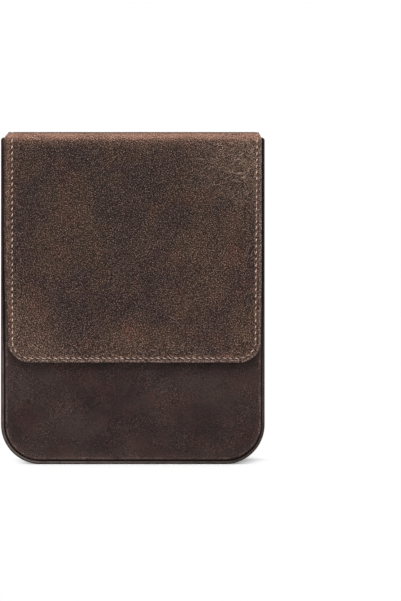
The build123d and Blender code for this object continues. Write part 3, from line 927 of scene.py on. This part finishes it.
# %% Front panel
front_low, front_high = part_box("front_leather")
front_half = front_high.x
front_radius = 17.4 * mm
front_top = front_high.z
front_wall = front_high.y - front_low.y
notch_half = 46.5 * mm
notch_depth = 72 * mm
notch_floor = front_top - notch_depth
notch_corner = 1.5 * mm
ring_lines = np.arange(-11, 11.1, 0.5) * mm


def front_place(across, along, height):
    x = across + 0.5 * mm * smooth_step(across, front_half - 9 * mm, front_half)
    return x, front_low.y - height, along


def front_distance(across, along):
    """In from the outer edge, the notch's edge or the top, whichever is nearest."""
    outside = panel_distance(across, along, front_half, front_low.z, front_radius)
    reach_x = np.maximum(np.abs(across) - (notch_half - notch_corner), 0)
    reach_z = np.maximum(notch_floor + notch_corner - along, 0)
    notch = np.hypot(reach_x, reach_z) - notch_corner
    return np.maximum(np.minimum(np.minimum(outside, notch), front_top - along), 0)


columns, rows = notched_lines(front_half, front_low.z, front_top, notch_half, notch_floor, 1.5 * mm, 1.6 * mm)
columns = joined(columns, ring_lines - magnet_x, ring_lines + magnet_x)
rows = joined(rows, ring_lines + magnet_z)
kept = beside_notch(columns, rows, notch_half, notch_floor)
across, along = rounded_grid(columns, rows, front_half, front_low.z, front_radius)
for side in (-1, 1):
    corner = (side * notch_half, notch_floor)
    across, along = round_corner(across, along, corner, side, -1, notch_corner, 6 * mm)
inward = front_distance(across, along)
middle_distance = from_magnet(across, along, magnet_z)
outer = edge_drop(inward, 0.7 * mm) + 0.05 * mm * bell(inward, 1.2 * mm, 0.6 * mm) - 0.1 * mm
outer = outer - 0.2 * mm * bell(middle_distance, ring_radius, 0.35 * mm)
outer = outer + 0.07 * mm * smooth_step(middle_distance, ring_radius - 0.4 * mm, ring_radius - 2 * mm)
outer = outer + swells(across, along, 26 * mm, 0.12 * mm, 31.0)
outer = outer + swells(across, along, 9 * mm, 0.03 * mm, 33.0)
inner = np.where(inward > turned_in, -skin, -front_wall)
inner = inner + 0.33 * mm * (middle_distance < magnet_radius + 0.1 * mm)
front_flat = (across, along, inward)
finishes = (front_finish, front_finish)
front_piece = sheet_piece("front_cover", front_flat, front_place, (outer, inner), *finishes, kept)
rides(front_piece, "case", "pull_up_leather", "front_leather")

# %% [markdown]
# ## Side band
# One strip of leather goes down one side, round the closed end and up the other side. Its edges stand as
# thin rims round the front and the back, with a narrow groove inside them, and its upper ends are turned in
# over the side walls. A rail gives the band's path, and the strip is swept along it.

# %% Rails round the case
band_radius = 19.5 * mm


def rail(half, low, top, radius, turn=0.0, lap=0.0):
    """A path down the left, round the foot and up the right: where its legs end, and its places by length.

    It can start and end with a turn over the top and a lap inwards. A leg is its length and its turning."""
    quarter = math.pi / 2
    legs = [(lap, 0), (quarter * turn, quarter), (top - turn - low - radius, 0), (quarter * radius, quarter)]
    legs = legs + [(2 * (half - radius), 0)] + legs[::-1]
    stops = np.cumsum([0] + [length for length, turning in legs])

    def place(distance):
        """The place in the room, and the way outwards, at each distance along the path."""
        distance = np.clip(distance, 0, stops[-1])
        x, z, angle = np.zeros((3, *distance.shape))
        corner = (-half + turn + lap, top, quarter)
        for (length, turning), begin in zip(legs, stops):
            on_leg = (distance >= begin) & (distance <= begin + length + 1e-9) & (length > 0)
            share = np.clip((distance - begin) / max(length, 1e-9), 0, 1)
            found = walked(corner, length, turning, share)
            x, z, angle = (np.where(on_leg, new, old) for new, old in zip(found, (x, z, angle)))
            corner = walked(corner, length, turning, 1)
        return x, z, np.cos(angle), np.sin(angle)

    return stops, place


def walked(corner, length, turning, share):
    """Where a share of a leg leads from the leg's first corner: place and outward angle."""
    x, z, angle = corner
    ahead = angle + turning * share
    if turning == 0:
        return x - length * share * np.sin(angle), z + length * share * np.cos(angle), ahead
    bend = length / turning
    return x + bend * (np.cos(ahead) - np.cos(angle)), z + bend * (np.sin(ahead) - np.sin(angle)), ahead


def along_rail(place, start=0.0):
    """Bends a flat strip so that its length follows a rail; height is measured outwards."""

    def room(across, along, height):
        x, z, out_x, out_z = place(along + start)
        return x + out_x * height, across, z + out_z * height

    return room


def rail_rows(stops, step):
    """Grid rows along a rail, closer together on its turns."""
    groups = []
    for number, (begin, end) in enumerate(zip(stops[:-1], stops[1:])):
        if end > begin:
            spacing = step if number in (2, 4, 6) else min(step, (end - begin) / 6)
            groups.append(np.linspace(begin, end, max(2, math.ceil((end - begin) / spacing) + 1)))
    return joined(*groups)


print("side band radius", band_radius / mm, "mm")

# %% Side band
shoulder = 1.5 * mm
band_lap = 1.7 * mm
band_stops, band_rail = rail(case_half, 0, band_high.z, band_radius, shoulder, band_lap)
band_half = band_stops[-1] / 2
band_depth = (band_high.y - band_low.y) / 2
lap_front = front_high.y + 0.05 * mm
lap_back = back_fold_y - 0.05 * mm
columns = joined(grid_lines(-band_depth, band_depth, 1.4 * mm), np.array([lap_front, lap_back]))
rows = rail_rows(band_stops, 1.8 * mm) - band_half
across, along = np.meshgrid(columns, rows)
inward = band_depth - np.abs(across)
middle_y = (columns[1:] + columns[:-1]) / 2
middle_s = (rows[1:] + rows[:-1]) / 2
past_turn = np.abs(middle_s) > band_half - band_stops[1]
on_rim = (middle_y < lap_front) | (middle_y > lap_back)
kept = ~(past_turn[:, None] & on_rim[None, :])
outer = edge_drop(inward, 0.45 * mm) - 0.1 * mm * bell(inward, 2.6 * mm, 0.3 * mm)
soft = swells(across, along, 18 * mm, 0.1 * mm, 41.0) - 0.08 * mm
outer = outer + soft * smooth_step(inward, 0.4 * mm, 3 * mm)
lip = smooth_step(inward, 1.6 * mm, 1.2 * mm) * (across < 0)
lip = lip * smooth_step(np.abs(along), 118 * mm, 108 * mm)
ledge = smooth_step(inward, 1.25 * mm, 1.5 * mm) * (inward < 2.35 * mm) * (across < 0)
lip_reach = (0.4 - 0.3 * smooth_step(along, 20 * mm, 60 * mm)) * mm
inner = -skin - edge_drop(inward, 0.15 * mm) - lip_reach * lip - 0.88 * mm * ledge
band_flat = (across, along, inward)
band_place = along_rail(band_rail, band_half)
band_piece = sheet_piece("side_band", band_flat, band_place, (outer, inner), band_finish, band_finish, kept)
rides(band_piece, "case", "pull_up_leather", "band_leather")

# %% [markdown]
# ## Linings of the box
# Inside, the box is lined with the same suede, glued flat to the boards. Plain sheets with slow swells and
# softly rolled edges do it. The front lining ends a little outside the notch, where the leather is turned
# in.

# %% Linings of the box
notch_setback = 1.3 * mm


def lined_radius(node):
    """The corner radius of a sheet that lies inside the case's outline."""
    return band_radius - (case_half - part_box(node)[1].x)


def flat_panel(name, node, finish, side, radius, seed, body, slot, notched=False):
    """A flat lining in the place of a CAD sheet; side is the way that its free face looks along Y."""
    low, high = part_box(node)
    kept = None
    columns = grid_lines(-high.x, high.x, 2 * mm)
    rows = grid_lines(low.z, high.z, 2 * mm)
    if notched:
        notch = (notch_half + notch_setback, notch_floor - notch_setback)
        columns, rows = notched_lines(high.x, low.z, high.z, *notch, 1.8 * mm, 2 * mm)
        kept = beside_notch(columns, rows, *notch)
    across, along = rounded_grid(columns, rows, high.x, low.z, radius)
    inward = np.minimum(panel_distance(across, along, high.x, low.z, radius), high.z - along)
    half_thickness = (high.y - low.y) / 2
    free = half_thickness + edge_drop(np.maximum(inward, 0), 0.3 * mm) - 0.05 * mm
    free = free + swells(across, along, 17 * mm, 0.05 * mm, seed)

    def room(across, along, height):
        return across, (low.y + high.y) / 2 + side * height, along

    heights = (free, np.full_like(free, 0.02 * mm - half_thickness))
    piece = sheet_piece(name, (across, along, inward), room, heights, finish, dark_edge, kept)
    rides(piece, body, slot, node)


def rail_lining(name, node, finish, thickness, seed, body, slot):
    """A lining that follows a wall round, with its free face inwards."""
    low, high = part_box(node)
    stops, place = rail(high.x, low.z, high.z, lined_radius(node))
    across, along = np.meshgrid(grid_lines(low.y, high.y, 1.8 * mm), rail_rows(stops, 2 * mm))
    inward = np.minimum(across - low.y, high.y - across)
    free = 0.04 * mm - thickness - edge_drop(inward, 0.25 * mm)
    free = free - swells(across, along, 15 * mm, 0.05 * mm, seed)
    heights = (free, np.full_like(free, -0.02 * mm))
    piece = sheet_piece(name, (across, along, inward), along_rail(place), heights, finish, dark_edge)
    rides(piece, body, slot, node)


for name, node, side, seed, notched in (
    ("front_suede", "front_lining", 1, 51.0, True),
    ("back_suede", "back_lining", -1, 53.0, False),
):
    flat_panel(name, node, lining_finish, side, lined_radius(node), seed, "case", "suede_lining", notched)
lining_low, lining_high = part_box("front_lining")
lining_thickness = lining_high.y - lining_low.y - 0.1 * mm
rail_lining("band_suede", "band_lining", lining_finish, lining_thickness, 55.0, "case", "suede_lining")

# %% [markdown]
# ## Tray
# The tray lifts out with the pens. Its wall is board with leather outside, which folds over the front rim
# and is glued down inside, and dark suede within. The leather is swept along a smaller rail with a bent
# profile.

# %% Tray
wall_low, wall_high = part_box("tray_wall_leather")
tray_skin = 0.8 * mm
rim_reach = 1.8 * mm
rim_round = 0.5 * mm
tray_stops, tray_rail = rail(wall_high.x, wall_low.z, wall_high.z, lined_radius("tray_wall_leather"))
bend_start = wall_high.y - wall_low.y - rim_round
bend_length = math.pi / 2 * rim_round
bend_end = bend_start + bend_length
profile_end = bend_end + rim_reach - rim_round


def tray_place(across, along, height):
    """Bends the leather over the front rim, across its length, and sweeps it along the rail."""
    turn = np.clip((across - bend_start) / bend_length, 0, 1) * math.pi / 2
    out = -rim_round + (rim_round + height) * np.cos(turn) - np.maximum(across - bend_end, 0)
    forward = np.minimum(across, bend_start) + (rim_round + height) * np.sin(turn)
    x, z, out_x, out_z = tray_rail(along)
    return x + out_x * out, wall_high.y - forward, z + out_z * out


columns = joined(
    grid_lines(0, bend_start, 1.8 * mm, (True, False)),
    np.linspace(bend_start, bend_end, 7),
    np.linspace(bend_end, profile_end, 5),
)
across, along = np.meshgrid(columns, rail_rows(tray_stops, 2 * mm))
inward = np.abs(bend_start + bend_end - 2 * across) / 2
soft = swells(across, along, 14 * mm, 0.06 * mm, 61.0) - 0.05 * mm
outer = soft * smooth_step(across, bend_start, bend_start - 4 * mm)
on_bend = (across > bend_start + 1e-7) & (across <= bend_end - 1e-7)
inner = np.where(on_bend, -np.minimum(tray_skin, rim_round * 0.98), -tray_skin)
tray_flat = (across, along, inward)
tray_wall = sheet_piece("tray_wall", tray_flat, tray_place, (outer, inner), tray_finish, dark_edge)
rides(tray_wall, "tray", "tray_leather", "tray_wall_leather")
rail_lining("tray_wall_suede", "tray_wall_lining", tray_lining_finish, 0.5 * mm, 63.0, "tray", "tray_lining")
floor_radius = lined_radius("tray_floor_leather")
for name, node, finish, side, seed, slot in (
    ("tray_back", "tray_floor_leather", tray_finish, 1, 65.0, "tray_leather"),
    ("tray_floor_suede", "tray_floor_lining", tray_lining_finish, -1, 67.0, "tray_lining"),
):
    flat_panel(name, node, finish, side, floor_radius, seed, "tray", slot)

# %% [markdown]
# ## Padded ribs
# Five ribs of leather over cord keep the pens apart. Each is a roll with steep sides, a round head and a
# domed upper end. It isn't quite even: the leather swells between its glue spots.

# %% Padded ribs
def rib(number):
    low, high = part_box(f"rib_leather_{number}")
    half = (high.x - low.x) / 2
    middle = (high.x + low.x) / 2
    straight = high.z - half - low.z
    head = straight + half * np.sin(np.linspace(0.08, 1.5, 12))
    rows = np.concatenate([np.linspace(0, straight, 90), head])
    turn, along = np.meshgrid(np.linspace(-1, 1, 25) * math.pi / 2, rows)
    slim = np.sqrt(1 - np.clip((along - straight) / half, 0, 1) ** 2)
    waves = np.array([noise.noise(Vector((number * 3.3, z / (11 * mm), 0))) for z in along.ravel()])
    waves = 0.95 + 0.04 * waves.reshape(along.shape)
    across = np.sign(turn) * half * slim * np.abs(np.sin(turn)) ** 0.8
    rise = (high.y - low.y) * np.cos(turn) ** 0.55 * (0.35 + 0.65 * slim) * waves

    def room(across, along, height):
        return middle + across, high.y - height, along

    flat = (across, along + low.z, np.full_like(along, 4 * mm))
    heights = (np.maximum(rise, 0.02 * mm), np.zeros_like(rise))
    pad = sheet_piece(f"padded_rib_{number}", flat, room, heights, rib_finish, dark_edge)
    rides(pad, "tray", "rib_leather", f"rib_leather_{number}")


for number in range(1, 6):
    rib(number)

# %% [markdown]
# ## Sewing
# Saddle stitches run round the flap and along the strip, on both faces. Each stitch is a plump thread that
# dives into the leather at both ends and lies a little aslant. The rows are laid out on the flat leather
# and bent with it, so they follow the folds.

# %% Stitches
stitch_pitch = 3.05 * mm
stitch_half = 1.2 * mm
ply_radius = 0.13 * mm
ply_offset = 0.1 * mm
twist = 1.6 * math.pi
slant = math.radians(13)


def thread_row(line):
    """Even places and directions along a line of flat points."""
    steps = np.hypot(*np.diff(line, axis=0).T)
    length = np.concatenate([[0], np.cumsum(steps)])
    count = round(length[-1] / stitch_pitch)
    spots = (np.arange(count) + 0.5) * length[-1] / count
    x, along = (np.interp(spots, length, values) for values in line.T)
    next_x, next_along = (np.interp(spots + 0.1 * mm, length, values) for values in line.T)
    return x, along, np.arctan2(next_along - along, next_x - x)


def stitches(name, row, face, way, fold, *nodes):
    """One mesh of two-ply stitches that lie on a face; way is 1 outside and -1 inside."""
    around = np.linspace(0, 2 * math.pi, 8)[:-1]
    grids = np.meshgrid(np.arange(len(row[0])), (0, 1), np.linspace(-1, 1, 11), around, indexing="ij")
    number, ply, ring, turn = grids
    x, along, direction = (values[number.astype(int)] for values in row)
    girth = np.sqrt(np.maximum(1 - ring**4, 0)) * 0.9 + 0.1
    winding = ply * math.pi + ring * twist / 2
    sideways = girth * (ply_offset * np.cos(winding) + ply_radius * np.cos(turn))
    upward = girth * (ply_offset * np.sin(winding) + ply_radius * np.sin(turn))
    upward = upward + 0.16 * mm * (1 - ring**2) - 0.12 * mm
    crossing = np.abs(np.cos(direction))
    angle = direction + slant * (1 + 0.1 * crossing)
    reach = ring * stitch_half * (1 + 0.24 * crossing)
    sideways = sideways * (1 - 0.25 * crossing)
    u = x + reach * np.cos(angle) - sideways * np.sin(angle)
    v = along + reach * np.sin(angle) + sideways * np.cos(angle)
    points = np.stack(cover_place(u, v, face(u, v) + way * upward), axis=-1)

    index = np.arange(number.size).reshape(-1, *points.shape[2:4])
    low, high = index[:, :-1], index[:, 1:]
    sides = np.stack([low, np.roll(low, -1, 2), np.roll(high, -1, 2), high], axis=-1).reshape(-1, 4)
    caps = np.concatenate([index[:, 0, ::-1], index[:, -1]])
    faces = [corners[::-way] for corners in sides.tolist() + caps.tolist()]
    flats = np.stack([u, v, ring * stitch_half], axis=-1)
    piece = new_piece(name, points, faces, flats, [thread_finish if way > 0 else inner_thread])
    crosses(piece, fold, "pale_thread", *nodes)
    print(name, "stitches", len(row[0]))


def strip_face(across, along):
    return np.full_like(across, -0.14 * mm)


def sewing_places(xs, alongs):
    """Flat points of the sewing from places in the room: it runs on straight where the cover narrows."""
    return np.column_stack([(xs - cover_middle(alongs)) * root_half / cover_half(alongs), alongs])


def sewing_side(side, alongs):
    half, drift = sewing_line(alongs)
    return sewing_places(side * half + drift, alongs)


foot_half, foot_drift = sewing_line(flap_end)
bend_radius = flap_corner - tip_inset
bend_angles = np.linspace(0, math.pi / 2, 16)
bend_x = foot_half - bend_radius * (1 - np.cos(bend_angles))
bend_along = flap_end - tip_inset - bend_radius * (1 - np.sin(bend_angles))
straight = np.linspace(strip_middle_along, flap_end - flap_corner, 60)[:-1]
left_line, right_line = (
    np.concatenate([sewing_side(side, straight), sewing_places(foot_drift + side * bend_x, bend_along)])
    for side in (-1, 1)
)
flap_row = thread_row(np.concatenate([left_line, right_line[::-1]]))
stitches("flap_stitches", flap_row, flap_face, 1, "front", "flap_thread")
stitches("flap_stitches_inside", flap_row, suede_face, -1, "front")
strip_span = np.linspace(-0.5 * mm, strip_middle_along, 20)
strip_lines = [thread_row(sewing_side(side, strip_span)) for side in (-1, 1)]
strip_row = [np.concatenate(values) for values in zip(*strip_lines)]
stitches("strip_stitches", strip_row, strip_face, 1, "back", "strip_thread")
stitches("strip_stitches_inside", strip_row, suede_face, -1, "back")

# %% [markdown]
# ## Floor and light
# The photograph is taken on white, with a soft shadow that stays close to the case's foot. The floor is
# white and lets only that part of the shadow through. Big soft lamps stand above the camera and to both
# sides, so that the fold and the rims catch light.

# %% Floor and light
foot_reach = case_half - band_radius
white = (1, 1, 1, 1)


def seen_ray(wire):
    """1 where the camera sees a surface, also through glass or in a mirror, and 0 where it gives light."""
    kinds = [f"Is {kind} Ray" for kind in ("Camera", "Glossy", "Transmission")]
    straight, mirror, glass = (wire.node("LightPath", {}, {}, kind) for kind in kinds)
    return wire.maths("MAXIMUM", wire.maths("MAXIMUM", straight, mirror), glass)


def make_floor(reach=4.0, drop=0.1 * mm, pool_depth=60 * mm):
    mesh = bpy.data.meshes.new("floor")
    corners = [(x * reach, y * reach, -drop) for x, y in ((-1, -1), (1, -1), (1, 1), (-1, 1))]
    mesh.from_pydata(corners, [], [(0, 1, 2, 3)])
    floor = bpy.data.objects.new("floor", mesh)
    bpy.context.scene.collection.objects.link(floor)
    material = bpy.data.materials.new("white_floor")
    material.use_nodes = True
    material.node_tree.nodes.clear()
    start = Wire(material.node_tree)
    place = start.node("NewGeometry", {}, {}, "Position")
    sideways = part_of(place, "X")
    right = start.maths("MAXIMUM", sideways - foot_reach, 0.0)
    left = start.maths("MAXIMUM", -foot_reach - sideways, 0.0)
    depthways = start.maths("ABSOLUTE", part_of(place, "Y") - pool_depth)
    share = (right + left * 1.35 + depthways * 0.12).rising(8 * mm, 25 * mm) * 0.9 + 0.1
    lit = start.node("BsdfDiffuse", {}, {"Color": (0.9, 0.9, 0.9, 1)})
    glow = start.node("Emission", {}, {"Color": white, "Strength": 1.0})
    both = start.node("MixShader", {}, {0: seen_ray(start) * share, 1: lit, 2: glow})
    start.node("OutputMaterial", {}, {"Surface": both})
    mesh.materials.append(material)


def make_world(strength):
    world = bpy.data.worlds.new("studio")
    world.use_nodes = True
    world.node_tree.nodes.clear()
    start = Wire(world.node_tree)
    level = seen_ray(start) * (1 - strength) + strength
    glow = start.node("Background", {}, {"Color": white, "Strength": level})
    start.node("OutputWorld", {}, {"Surface": glow})
    bpy.context.scene.world = world


def lamp(name, place, size, power):
    data = bpy.data.lights.new(name, "AREA")
    data.shape = "RECTANGLE"
    data.size, data.size_y = size
    data.energy = power
    light = bpy.data.objects.new(name, data)
    light.location = place
    aim = Vector((0, 0, band_high.z / 2)) - Vector(place)
    light.rotation_euler = aim.to_track_quat("-Z", "Y").to_euler()
    bpy.context.scene.collection.objects.link(light)
    print(name, power, "watts")


make_floor()
make_world(0.3)
lamp("top_front_lamp", (-0.2, -0.85, 1.5), (1.2, 0.7), 27)
lamp("left_lamp", (-1.6, -0.9, 0.7), (0.7, 1.0), 6)
lamp("right_lamp", (1.6, -0.8, 0.8), (0.7, 1.0), 4)

# %% [markdown]
# ## Finish
# The view transform is set to Standard.

# %% Finish
bpy.context.scene.view_settings.view_transform = "Standard"
